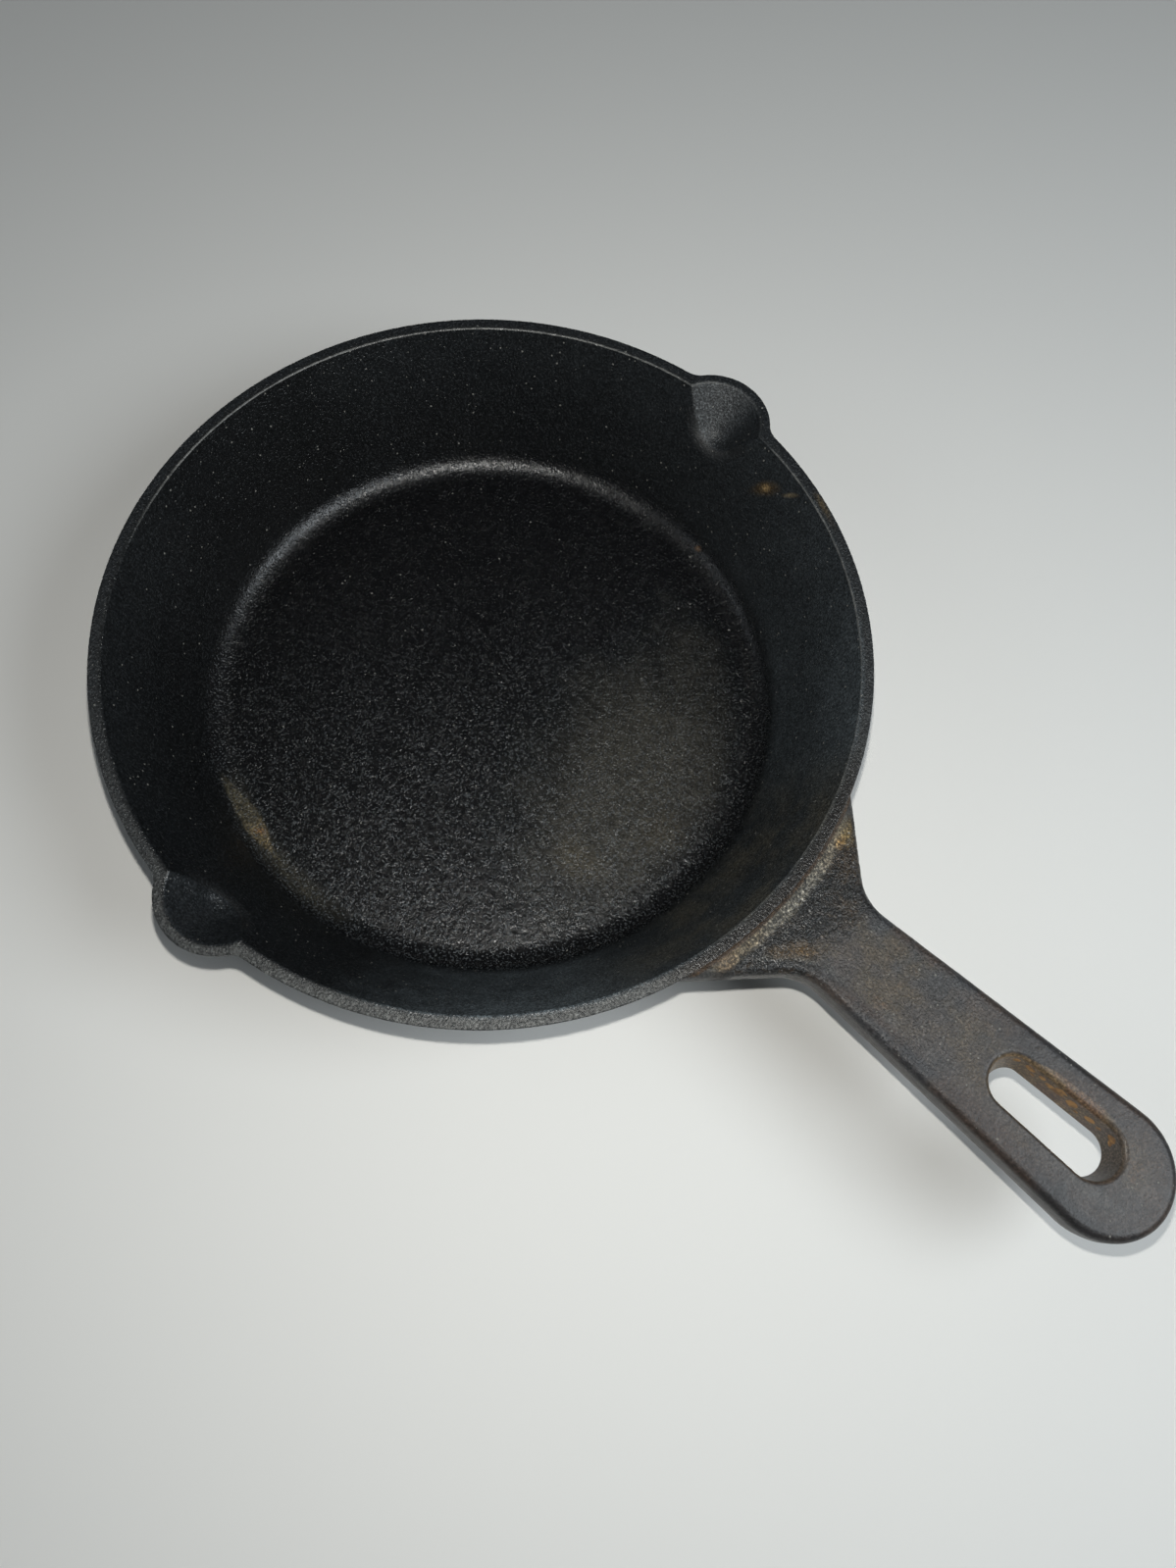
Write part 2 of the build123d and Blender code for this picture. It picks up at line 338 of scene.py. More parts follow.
def disc(co, cells, top, h):
    """Rings of triangles that close the floor (top) or the base inside the grid's inner edge."""
    i = cells // NK // NJ
    k = cells % NK
    j = cells // NK % NJ
    zc = (zs[k] + zs[np.minimum(k + 1, NK - 1)]) / 2
    ring = np.flatnonzero((i == 0) & ((zc > 1.6) == top))
    ring = ring[np.argsort(j[ring])]
    assert len(ring) == NJ, (len(ring), NJ)
    pts, tris = [], []
    base = len(co)
    prev, prev_a = ring, 2 * np.pi * np.arange(NJ) / NJ + np.pi / NJ
    r = np.hypot(*co[ring[0], :2])
    z = co[ring[0], 2]
    rings = int(round(r / h))
    rng = np.random.default_rng(5)
    for m in range(1, rings):
        rr = r * (1 - m / rings)
        n = max(6, int(round(2 * np.pi * rr / h)))
        ph = rng.uniform(0, 2 * np.pi / n)
        a = ph + 2 * np.pi * np.arange(n) / n
        pts.append(np.stack([rr * np.cos(a), rr * np.sin(a), np.full(n, z)], 1))
        now = base + np.arange(n)
        base += n
        tris.append(zipper(prev, prev_a, now, a))
        prev, prev_a = now, a
    pts.append(np.array([[0, 0, z]]))
    tris.append(np.stack([prev, np.roll(prev, -1), np.full(len(prev), base)], 1))
    T = np.concatenate(tris)
    return np.concatenate(pts), T if top else T[:, ::-1]


def zipper(outer, oa, inner, ia):
    """Triangles between two rings of points, each point taken in turn by its angle."""
    no, ni = len(outer), len(inner)
    shift = np.searchsorted(ia, oa[0]) % ni
    inner, ia = np.roll(inner, -shift), np.roll(ia, -shift)
    ia = np.where(ia < oa[0], ia + 2 * np.pi, ia)
    # after each step the front is (last outer, last inner)
    mid_o = (oa + np.append(oa[1:], oa[0] + 2 * np.pi)) / 2
    mid_i = (ia + np.append(ia[1:], ia[0] + 2 * np.pi)) / 2
    a = np.concatenate([mid_o, mid_i])
    kind = np.concatenate([np.zeros(no, int), np.ones(ni, int)])
    order = np.argsort(a, kind="stable")
    kind = kind[order]
    o = np.concatenate([[0], np.cumsum(kind == 0)])[:-1]
    i = np.concatenate([[0], np.cumsum(kind == 1)])[:-1]
    t0 = np.stack([outer[o % no], outer[(o + 1) % no], inner[i % ni]], 1)
    t1 = np.stack([outer[o % no], inner[(i + 1) % ni], inner[i % ni]], 1)
    return np.where((kind == 0)[:, None], t0, t1)


def edges_of(quads, tris):
    e = [quads[:, [a, (a + 1) % 4]] for a in range(4)] + [tris[:, [a, (a + 1) % 3]] for a in range(3)]
    e = np.sort(np.concatenate(e), 1)
    n = int(e.max()) + 1
    return np.stack(np.divmod(np.unique(e[:, 0].astype(np.int64) * n + e[:, 1]), n), 1)


def settle(co, edges, free, rounds):
    """Evens the mesh out along the surface and puts every point back on it."""
    n = len(co)
    deg = np.bincount(edges.ravel(), minlength=n).astype(float)
    for turn in range(rounds):
        g, slope = gradient(co)
        if turn:
            mean = np.stack([
                np.bincount(edges[:, 0], co[edges[:, 1], d], n) + np.bincount(edges[:, 1], co[edges[:, 0], d], n)
                for d in range(3)], 1) / deg[:, None]
            move = (mean - co) * 0.5 * free[:, None]
            co = co + move - g * (move * g).sum(1, keepdims=True)
        f = field(co)
        co = co - g * np.clip(f / np.maximum(slope, 0.5), -0.25, 0.25)[:, None]
    for _ in range(2):
        g, slope = gradient(co)
        co = co - g * np.clip(field(co) / np.maximum(slope, 0.5), -0.1, 0.1)[:, None]
    return co, gradient(co)[0]


# ------------------------------------------------------------------ seeded noise
def noise(p, size, seed):
    """Gradient noise of one cell size in mm, about -0.7 to 0.7."""
    q = p / size + np.array([37.1, 11.7, 23.9]) * (seed % 17 + 1)
    c = np.floor(q)
    f = q - c
    c = c.astype(np.int64)
    u = f * f * f * (f * (f * 6 - 15) + 10)
    total = np.zeros(len(p))
    for dx in (0, 1):
        for dy in (0, 1):
            for dz in (0, 1):
                h = ((c[:, 0] + dx) * 73856093) ^ ((c[:, 1] + dy) * 19349663) ^ ((c[:, 2] + dz) * 83492791) ^ (seed * 2654435761)
                h = (h & 0xFFFFFFFF).astype(np.uint32)
                h ^= h >> 15
                h *= np.uint32(0x2C1B3C6D)
                h ^= h >> 12
                h *= np.uint32(0x297A2D39)
                h ^= h >> 15
                a = (h & 0xFFFF).astype(np.float64) * (2 * np.pi / 65536)
                b = (h >> 16).astype(np.float64) / 32768 - 1
                s = np.sqrt(1 - b * b)
                dot = s * np.cos(a) * (f[:, 0] - dx) + s * np.sin(a) * (f[:, 1] - dy) + b * (f[:, 2] - dz)
                w = (u[:, 0] if dx else 1 - u[:, 0]) * (u[:, 1] if dy else 1 - u[:, 1]) * (u[:, 2] if dz else 1 - u[:, 2])
                total += dot * w
    return total


def ramp(v, a, b):
    t = np.clip((v - a) / (b - a), 0, 1)
    return t * t * (3 - 2 * t)


# ------------------------------------------------------------------ the casting
co, quads, cells = net()
top_pts, top_tris = disc(co, cells, True, 0.31 * STEP)
co = np.concatenate([co, top_pts])
low_pts, low_tris = disc(co, cells, False, 0.6 * STEP)
co = np.concatenate([co, low_pts])
tris = np.concatenate([top_tris, low_tris])
edges = edges_of(quads, tris)
r = np.hypot(co[:, 0], co[:, 1])
free = np.ones(len(co))
free[r < RHO_C + 2.5] = 0.0
co, nor = settle(co, edges, free, 4)
smooth = co.copy()

# relief
x, y, z = co.T
r = np.hypot(x, y)
inside = (cone_in(r, z) < 1.2) & (z < H - 0.2)
in_pan = ramp(-cone_in(r, z), -1.0, 0.2) * ramp(z, 1.0, 2.2)
in_pan = np.maximum(in_pan, ramp(-scoop(x, np.abs(y), z)[0], -0.5, -0.15) * (z > 20))
floor_w = in_pan * ramp(-z, -8.0, -4.5)
wall_w = in_pan - floor_w
bar_w = ramp(x, 76.5, 78.5)
land_w = (1 - in_pan) * (1 - bar_w) * ramp(z, H - 0.8, H - 0.1)
out_w = np.clip(1 - in_pan - land_w - bar_w, 0, 1)
pebble = noise(co, 1.05, 1) + 0.6 * noise(co, 1.9, 2) + 0.3 * noise(co, 4.0, 3)
fine = noise(co, 0.9, 4) + 0.6 * noise(co, 1.6, 5)
wrinkle = 0.4 - 1.7 * np.abs(noise(co, 1.8, 8)) + 0.4 * noise(co, 1.0, 9)
lump = noise(co, 6.5, 6) + 0.5 * noise(co, 3.1, 7)
near_root = bar_w * ramp(-x, -94.0, -84.0)
relief = (
    floor_w * (0.062 * pebble)
    + wall_w * (0.030 * fine + 0.03 * lump)
    + land_w * (0.045 * fine)
    + bar_w * (0.040 * fine + 0.045 * lump) * (1 - 0.55 * ramp(co[:, 0], 104, 124)) + near_root * (0.045 * fine + 0.045 * wrinkle)
    + out_w * (0.07 * fine + 0.05 * wrinkle + 0.04 * lump)
)
relief -= 0.04 + 0.05 * bar_w
co = co + nor * relief[:, None]
co[:, 2] = np.clip(co[:, 2], 0, H)
co[:, 1] = np.clip(co[:, 1], -81.33, 81.33)
co[:, 0] = np.clip(co[:, 0], -76.17, 159.98)


def build(name, co, quads, tris):
    me = bpy.data.meshes.new(name)
    nq, nt = len(quads), len(tris)
    me.vertices.add(len(co))
    me.vertices.foreach_set("co", (co / 1000).astype(np.float32).ravel())
    loops = np.concatenate([quads.ravel(), tris.ravel()]).astype(np.int32)
    me.loops.add(len(loops))
    me.loops.foreach_set("vertex_index", loops)
    me.polygons.add(nq + nt)
    start = np.concatenate([np.arange(nq) * 4, nq * 4 + np.arange(nt) * 3]).astype(np.int32)
    me.polygons.foreach_set("loop_start", start)
    me.update(calc_edges=True)
    me.validate()
    me.shade_smooth()
    ob = bpy.data.objects.new(name, me)
    bpy.context.scene.collection.objects.link(ob)
    return ob


casting = build("skillet_casting", co, quads, tris)


# ------------------------------------------------------------------ finish, point by point
x, y, z = co.T
r = np.hypot(x, y)
az = np.degrees(np.arctan2(y, x))
cloud = noise(co, 14.0, 21) + 0.6 * noise(co, 6.0, 22) + 0.35 * noise(co, 2.6, 23)
mottle = noise(co, 4.2, 24) + 0.6 * noise(co, 1.9, 25)
crisp = noise(co, 1.3, 26) + 0.5 * noise(co, 0.8, 27)


def blob(cx, cy, rx, ry, deg=0.0, soft=1.0, rough=0.35):
    """A patch seen from above (stains, dust, and one painted highlight): 1 in its middle, 0 past its ragged edge."""
    c, s = math.cos(math.radians(deg)), math.sin(math.radians(deg))
    u, v = (x - cx) * c + (y - cy) * s, -(x - cx) * s + (y - cy) * c
    d = np.hypot(u / rx, v / ry) + rough * cloud
    return ramp(-d, -1.0 - 0.15 * soft, -1.0 + 0.75 * soft)


def lay(base, colour, w):
    return base + (np.array(colour) - base) * np.clip(w, 0, 1)[:, None]


plan = outline(x, y)
hollow = cavity(x, y, z)
slot_d = slot_plan(x, y)
on_bar = ramp(x, 74.5, 77.0) * (1 - in_pan) * ramp(-plan, -3.0, -1.0) * ramp(z, 12.0, 20.0)
on_top = on_bar * ramp(z, ZT - 1.2, ZT - 0.5)
crease_r = r - RIM_R
# weight towards the side of the pan that faces the key light, 40 degrees round from the handle
key_side_weight = 0.5 + 0.5 * np.cos(np.radians(az + 40))          # 1 by the handle, 0 across the pan
tint = np.tile(np.array([0.030, 0.031, 0.031]), (len(co), 1))                        # outside of the pan
tint = lay(tint, (0.040, 0.039, 0.036), 0.5 + 0.6 * cloud)
# resting face: rubbed smooth near its edge, faintly stained
resting = ramp(-z, -1.3, -0.3) * ramp(-r, -60.0, -57.0)
tint = lay(tint, (0.031, 0.029, 0.027), resting * (0.8 + 0.4 * mottle))
tint = lay(tint, (0.044, 0.032, 0.022), resting * ramp(cloud + 0.3 * mottle, 0.15, 0.60) * 0.6)
tint = lay(tint, (0.052, 0.052, 0.050), resting * ramp(-np.abs(r - 51.5), -4.5, -1.5) * (0.55 + 0.5 * crisp + 0.5 * cloud))
# rim: dark and seasoned across the pan, grey on the side towards the handle and the key light: partly wear, partly a
# painted highlight
land = land_w * (z > H - 2)
tint = lay(tint, (0.0080, 0.0095, 0.0108), land)
tint = lay(tint, (0.058, 0.060, 0.057), land * key_side_weight ** 2.8 * (0.8 + 0.6 * crisp + 0.4 * mottle))
by_bar = land * ramp(-np.abs(az + 1.0), -25.0, -15.0)
tint = lay(tint, (0.027, 0.0225, 0.0175), by_bar * (0.9 + 0.2 * mottle))
tint = lay(tint, (0.0075, 0.0075, 0.0075), by_bar * ramp(-r + 0.6 * mottle, -75.1, -74.1) * 0.9)
# inside: black seasoning under a thin dull film, more of it by the handle; the film's bluish lightening of the walls,
# strongest on the handle side and towards the rim, is partly dust and partly painted light
tint = lay(tint, (0.0015, 0.0019, 0.0024), in_pan)
turned = np.abs(az + 4 * mottle)
dust_film_and_sheen = np.where(az > 0, 0.046 * np.exp(-(turned / 60.0) ** 2), 0.058 * ramp(-turned, -72.0, -44.0)) * (1 + 0.45 * ramp(z, 17, 32)) + 0.004 * ramp(z, 8, 32) ** 1.5
dust_film_and_sheen = dust_film_and_sheen * (1 + 0.35 * cloud + 0.3 * mottle + 0.3 * crisp) * ramp(z, 4.0, 10.0)
dust_film_and_sheen = dust_film_and_sheen * (1 - 0.55 * ramp(-np.abs(az + 2), -34, -14))
wall_in = in_pan * (1 - floor_w)
tint = tint + np.array([0.84, 1.0, 1.10]) * np.clip(dust_film_and_sheen * wall_in, 0, 0.09)[:, None]
tint = lay(tint, (0.060, 0.054, 0.040), wall_in * ramp(-np.abs(az + 2), -32, -10) * ramp(z, 4, 11) * ramp(cloud + 0.35 * mottle, -0.45, 0.55) * (0.75 + 0.5 * crisp))
# painted shade: the wall across the pan from the handle is darkened
far_wall_shade = wall_in * ramp(np.abs(az), 152, 172)
tint = tint * (1 - 0.55 * far_wall_shade[:, None])
scoop_d = scoop(x, np.abs(y), z)[0]
scoop_in = in_pan * ramp(-np.abs(scoop_d + 0.05), -0.55, -0.15) * (np.abs(y) > 50) * (np.abs(x) < 14) * (z > 16)
scoop_lit = scoop_in * (y > 0) * ramp(-x - 0.25 * (29.0 - z), -5.5, 3.0) * ramp(z, 21.5, 25.0)
scoop_brow = in_pan * (np.abs(x) < 15) * (np.abs(y) > 50) * ramp(z, 17, 20) * ramp(-z, -30, -28) * ramp(scoop_d, 0.0, 0.4) * ramp(-scoop_d, -2.6, -1.4)
tint = lay(tint, (0.0052, 0.0060, 0.0068), np.clip(scoop_brow * 0.8 + wall_in * ramp(-np.abs(az + 90), -24, -12) * ramp(z, 12, 18), 0, 1))
tint = lay(tint, (0.0115, 0.0132, 0.0148), scoop_in * (0.8 + 0.4 * crisp))
# painted light: the flank of the +y scoop on its -x side is made lighter where the soft light falls on it
tint = lay(tint, (0.048, 0.051, 0.052), scoop_lit * (0.85 + 0.5 * crisp))
# floor: dust and stains
dust = floor_w * blob(38, 6, 27, 42, 20, 1.0, 0.30) * ramp(-r, -56.5, -50.0)
tint = lay(tint, (0.039, 0.036, 0.029), dust * (0.75 + 0.5 * crisp))
tint = lay(tint, (0.060, 0.050, 0.031), floor_w * blob(39, -15, 7, 5, 0, 1.2, 0.5) * 0.5)
tint = lay(tint, (0.046, 0.038, 0.024), floor_w * blob(47, 2, 5, 7, 0, 1.2, 0.6) * 0.4)
band_at = r - 57.0 - 0.22 * np.maximum(-109.0 - az, 0)
band = in_pan * ramp(-np.abs(band_at) + 2.0 * np.exp(-((az + 108.0) / 9.0) ** 2) + 0.45 * mottle, -0.2, 0.35) * ramp(-np.abs(az + 107.0 + 3 * cloud), -13.5, -9.0)
tint = lay(tint, (0.058, 0.050, 0.032), band * (0.72 + 0.4 * crisp))
tint = lay(tint, (0.110, 0.082, 0.042), band * ramp(-np.abs(az + 103.0), -5.0, -1.5) * (0.6 + 0.5 * crisp))
faint = in_pan * np.exp(-((r - 57.3) / 1.9) ** 2) * ramp(-np.abs(az + 98), -26.0, -8.0)
tint = lay(tint, (0.034, 0.031, 0.023), faint * (0.7 + 0.6 * crisp) * (1 - band))
# the inner edge of the rim shows a thin bright line, partly wear and partly a painted highlight where the rounded edge
# faces the key light: distance across the rim and how strong the line is
across = np.clip(np.where(z > H - 0.25, hollow - 0.04, (z - H) * 1.1), -3, 3)
worn_and_highlight = ramp(np.abs(az + 88), 62, 84) * (0.75 + 0.7 * crisp + 0.5 * cloud) * (z > H - 3.5) * (1 - bar_w)
worn_and_highlight = worn_and_highlight * (1 - 0.30 * ramp(-np.abs(az - 62), -34, -16)) * (1 - 0.75 * ramp(-np.abs(az - 8), -42, -28))
worn_and_highlight = worn_and_highlight * np.where((y > 50) & (x > -12.5) & (x < 13.0), 0.15 + 0.45 * ramp(-x, 2.0, 8.0), 1.0)
# handle
tint = lay(tint, (0.054, 0.048, 0.0445), on_bar)
tint = lay(tint, (0.040, 0.044, 0.047), on_bar * ramp(y + 4 * cloud + 2 * mottle, 0.0, 6.0) * (0.8 - 0.5 * ramp(x, 120, 140)))
tint = lay(tint, (0.063, 0.051, 0.036), on_bar * ramp(cloud + 0.30 * mottle, -0.10, 0.30) * 0.9)
tint = lay(tint, (0.072, 0.045, 0.025), on_bar * ramp(cloud + 0.3 * crisp + 0.4 * mottle, 0.36, 0.70) * 0.85)
tint = lay(tint, (0.028, 0.032, 0.035), on_bar * ramp(-cloud - 0.5 * mottle, 0.20, 0.60) * 0.75)
# painted highlight: a light streak along the top edge of the handle's lower side near the flare
tint = lay(tint, (0.072, 0.072, 0.069), on_bar * blob(92.5, -6.5, 10, 1.5, -14, 1.4, 0.3) * 0.8)
tint = lay(tint, (0.068, 0.068, 0.066), on_bar * ramp(-np.abs(y + 5.6), -2.0, -0.4) * ramp(x, 98, 104) * (0.45 + 0.6 * mottle))
tint = lay(tint, (0.046, 0.036, 0.033), on_bar * ramp(plan + 1.5 * mottle, -8.0, -3.0) * ramp(x, 100, 112) * ramp(cloud, -0.45, 0.25) * 0.65)
tint = lay(tint, (0.050, 0.054, 0.058), on_bar * ramp(cloud * 0.6 + 0.8 * noise(co, 9.0, 31), 0.25, 0.70) * ramp(x, 92, 100) * 0.75)
# the rounded edges: painted shade, reaching further in on the y < 0 side, bluish and brown by turns
edge_band_shade = on_bar * ramp(plan + 0.35 * mottle + 0.6 * cloud + 1.2 * (y < 0), -2.8, -1.4) * ramp(x - 6.0 * (y < 0), 72, 80)
tint = lay(tint, (0.026, 0.027, 0.030), edge_band_shade * 0.85)
tint = lay(tint, (0.044, 0.033, 0.027), edge_band_shade * ramp(cloud, -0.15, 0.25) * 0.9)
# painted shade on the lower sides of the handle, on the y < 0 side
tint = lay(tint, (0.032, 0.029, 0.027), on_bar * ramp(-z, -ZT + 0.9, -ZT + 2.2) * ramp(-y, -4, 0) * 0.8)
# root: dark by the rim, greyer towards the neck
dark = on_bar * ramp(-x + 0.30 * np.abs(y + 3) - 3.0 * mottle - 1.5 * cloud, -89.5, -83.5) * (0.25 + 0.75 * ramp(z, 24.5, 28.0))
tint = lay(tint, (0.0100, 0.0098, 0.0092), dark * 0.97)
tint = lay(tint, (0.034, 0.024, 0.015), dark * ramp(cloud + 0.6 * crisp, -0.1, 0.4) * 0.75)
# painted highlight along the top edge of the root's lower side
tint = lay(tint, (0.070, 0.070, 0.064), on_top * dark * (y < 0) * ramp(-np.abs(plan + 3.1 - 0.4 * mottle), -0.8, -0.2) * ramp(x, 78, 81) * 0.6)
tint = lay(tint, (0.100, 0.064, 0.028), on_top * blob(84.6, -6.4, 4.2, 1.9, 36, 1.8, 0.8) * 0.85)
tint = lay(tint, (0.092, 0.060, 0.028), on_top * blob(81.4, -9.8, 2.6, 1.3, 36, 1.8, 0.8) * 0.8)
tint = lay(tint, (0.050, 0.042, 0.028), on_top * blob(95.8, -1.8, 3.0, 2.2, 0, 1.8, 0.8) * 0.7)
# iron by the crease: worn pale in the middle, rusty towards both ends
by_crease = ramp(x, 70, 73) * ramp(z, ZT - 0.9, ZT - 0.5) * ramp(-plan, 0.5, 1.4)
pale = by_crease * ramp(crease_r, 0.15, 0.45) * ramp(-crease_r + 0.8 * mottle, -2.9, -1.8)
pale = pale * ramp(-np.abs(az + 1.0), -15.5, -12.5)
tint = lay(tint, (0.125, 0.118, 0.096), pale * (0.80 + 0.5 * crisp + 0.2 * cloud))
tint = lay(tint, (0.105, 0.074, 0.036), pale * ramp(np.abs(az - 0.5) + 4.0 * mottle, 3.0, 10.0) * (0.45 + 0.5 * crisp))
tint = lay(tint, (0.125, 0.088, 0.052), by_crease * blob(75.4, -18.0, 1.9, 4.3, 12, 1.2, 0.6) * (crease_r > 0.1) * (0.8 + 0.6 * crisp))
mustard = by_crease * blob(76.9, 16.6, 3.0, 4.8, 8, 1.2, 0.5) * (crease_r > 0.2)
tint = lay(tint, (0.150, 0.108, 0.042), mustard * (0.85 + 0.4 * crisp))
tint = lay(tint, (0.290, 0.160, 0.036), by_crease * blob(76.9, 14.3, 1.5, 2.6, 10, 1.6, 0.5) * (crease_r > 0.35) * 0.85)
line = ramp(x, 70, 73) * ramp(-np.abs(crease_r - 0.02), -0.55, -0.2) * ramp(-plan, -0.3, 0.5) * (z > ZT - 0.9)
tint = lay(tint, (0.050, 0.030, 0.016), line * (0.85 + 0.4 * mottle))
tint = lay(tint, (0.013, 0.012, 0.011), land * ramp(-np.abs(az - 4.0), -24, -15) * ramp(r, 73.0, 73.6) * (crease_r < -0.4) * (0.85 + 0.4 * mottle))
tint = tint * (1 + on_bar * (1 - dark) * np.clip(0.30 * cloud + 0.22 * mottle + 0.10 * crisp, -0.35, 0.35))[:, None]
warm = (on_bar * (0.09 + 0.21 * ramp(x, 110, 128)))[:, None] * np.array([0.85, 1.08, 1.22])
tint = tint * (1 - warm)
# slot: brown walls
slot_wall = on_bar * ramp(-np.abs(slot_d + 1.2), -2.6, -1.2) * ramp(-z, -ZT + 0.1, -ZT + 0.6) * ramp(z, ZL + 0.1, ZL + 0.7)
far_side = ramp(y - SLOT_Y, -1.0, 2.5) * ramp(-x, -147.0, -140.0) + ramp(x, 146.0, 149.0) * ramp(y, -5.0, 0.0) * 0.7
lip_w = 0.35 + 1.15 * ramp(-np.abs(x - 137.5), -12.5, -5.0)
slot_wall = np.maximum(slot_wall, on_bar * ramp(lip_w - slot_d + 0.25 * mottle, -0.25, 0.2) * ramp(slot_d, -1.2, -0.6) * ramp(x, 121, 122) * np.clip(far_side, 0, 1) * 0.85)
tint = lay(tint, (0.135, 0.092, 0.050), slot_wall * 0.95)
tint = lay(tint, (0.105, 0.060, 0.039), slot_wall * ramp(mottle + 0.4 * crisp + 0.03 * (x - 132), 0.0, 0.5) * 0.8)
tint = lay(tint, (0.076, 0.066, 0.056), slot_wall * ramp(x, 141, 147) * 0.8)
# painted shade round the near side of the slot's top edge
tint = lay(tint, (0.030, 0.025, 0.021), on_bar * ramp(-np.abs(slot_d + 0.15), -0.5, -0.2) * ramp(z, ZT - 0.6, ZT - 0.2) * 0.6 * (1 - np.clip(far_side, 0, 1)))
# small stains in the pan and on the rim


def wall_mark(az0, z0, along, across, soft, rough):
    """A mark on the leaning wall: along it runs up and away from the handle side."""
    u, v = (az - az0) * 1.24, (z - z0) * 1.1
    a, b = -0.66 * u + 0.75 * v, 0.75 * u + 0.66 * v
    return wall_in * ramp(-np.hypot(a / along, b / across) - rough * cloud, -1.0 - 0.3 * soft, -1.0 + 0.7 * soft) * (z > 18)


tint = lay(tint, (0.058, 0.037, 0.015), wall_mark(76.6, 25.9, 3.9, 1.4, 1.2, 0.5) * 0.85)
tint = lay(tint, (0.250, 0.170, 0.080), wall_mark(76.5, 26.3, 1.1, 0.75, 1.0, 0.4) * 0.85)
tint = lay(tint, (0.125, 0.100, 0.062), wall_mark(71.9, 29.7, 2.2, 0.5, 1.0, 0.3) * 0.85)
tint = lay(tint, (0.110, 0.078, 0.034), blob(29.0, 69.2, 3.0, 0.9, -23, 2.0, 0.7) * ramp(z, H - 1.2, H - 0.5) * 0.8)
tint = lay(tint, (0.060, 0.046, 0.026), blob(31.5, 67.9, 3.5, 0.9, -25, 2.0, 0.7) * ramp(z, H - 1.2, H - 0.5) * 0.6)
tint = lay(tint, (0.130, 0.070, 0.028), in_pan * blob(9.4, 58.8, 1.1, 0.6, 0, 1.4, 0.6) * (z < 8) * 0.7)
tint = lay(tint, (0.240, 0.105, 0.035), in_pan * blob(-14.0, -54.9, 1.5, 0.7, 35, 1.4, 0.5) * (z < 9) * 0.4)

# rust flecks: x, y, z, size along, size across
rust = np.zeros(len(co))
for fx, fy, fz, fa, fb in ((125.3, 5.4, 29.4, 0.65, 0.6), (128.1, 5.8, 29.2, 0.9, 0.75), (129.2, 6.1, 27.9, 0.55, 0.5),
                           (130.6, 6.0, 29.3, 0.6, 0.6), (133.5, 6.0, 28.6, 1.8, 0.7), (134.4, 6.0, 29.8, 1.0, 0.55),
                           (137.3, 6.0, 28.5, 1.0, 1.1), (141.4, 5.8, 28.1, 0.9, 0.7), (146.0, 5.0, 28.8, 0.7, 0.8),
                           (146.4, 3.8, 27.8, 0.55, 0.6), (139.0, 5.9, 27.2, 0.45, 0.4), (143.6, 5.4, 27.6, 0.45, 0.45)):
    d = np.sqrt(((x - fx) / fa) ** 2 + ((y - fy) / 1.2) ** 2 + ((z - fz) / fb) ** 2) + 0.25 * crisp
    rust = np.maximum(rust, slot_wall * ramp(-d, -1.45, -0.85))
rust = np.maximum(rust, on_top * ramp(cloud + 0.9 * mottle + 0.5 * crisp, 1.35, 1.6) * 0.35)
dull = 0.10 * wall_in + 0.45 * scoop_lit + 0.4 * scoop_brow + 0.42 * land - 0.20 * by_bar + 0.38 * on_bar - 0.17 * dark + 0.5 * out_w
dull = dull - 0.06 * wall_in * (y < -50) * ramp(-scoop_d, -2.2, -0.4) + 0.02 * floor_w + 0.05 * in_pan * ramp(-np.abs(r - 56.5), -3.2, -1.2)
speck_share = 0.36 * wall_in + 0.12 * floor_w + 0.12 * land - 0.08 * by_bar + (0.30 + 0.25 * ramp(-x, -118, -108)) * on_top
# how strongly the sand grain breaks the colour up
smooth_end = 1 - 0.85 * ramp(x, 104, 124)
grit = 0.22 + 0.14 * wall_in + 0.45 * scoop_lit + 0.30 * band + 0.20 * faint + 0.30 * land - 0.20 * by_bar + 0.10 * on_bar * smooth_end + 0.34 * dark
grit = grit + 0.34 * pale * (1 - mustard) + 0.15 * slot_wall


def attribute(name, values):
    a = casting.data.attributes.new(name, "FLOAT" if values.ndim == 1 else "FLOAT_COLOR", "POINT")
    if values.ndim == 1:
        a.data.foreach_set("value", values.astype(np.float32))
    else:
        a.data.foreach_set("color", np.concatenate([values, np.ones((len(values), 1))], 1).astype(np.float32).ravel())


attribute("iron_tint", np.clip(tint, 0.002, 1))
attribute("iron_rust", np.clip(rust, 0, 1))
attribute("iron_dull", np.clip(dull, 0, 1))
attribute("iron_pebble", np.clip(0.66 * floor_w + 0.35 * wall_in + 0.6 * scoop_lit + 0.8 * land + 0.2 * by_bar + 0.9 * on_bar * smooth_end + 0.7 * dark + 0.8 * out_w + 0.5 * pale, 0, 2))
attribute("iron_grit", np.clip(grit, 0, 1.2))
attribute("iron_speck", np.clip(speck_share, 0, 1))
# painted glints, partly dust: grey tips on raised grains, more towards the key light across the floor and fewer on the
# shaded far wall
toward_key_light = (x * math.cos(math.radians(-47)) + y * math.sin(math.radians(-47))) / 50.0
dust_and_glints = floor_w * (0.24 + 0.42 * toward_key_light) + 0.20 * wall_in - 0.12 * far_wall_shade + 0.10 * land - 0.10 * by_bar + 0.22 * dark + 0.14 * on_top * smooth_end
attribute("iron_dust_glint", np.clip(dust_and_glints, 0, 1))
attribute("iron_across", across)
attribute("iron_worn_highlight", np.clip(worn_and_highlight, 0, 1.2))


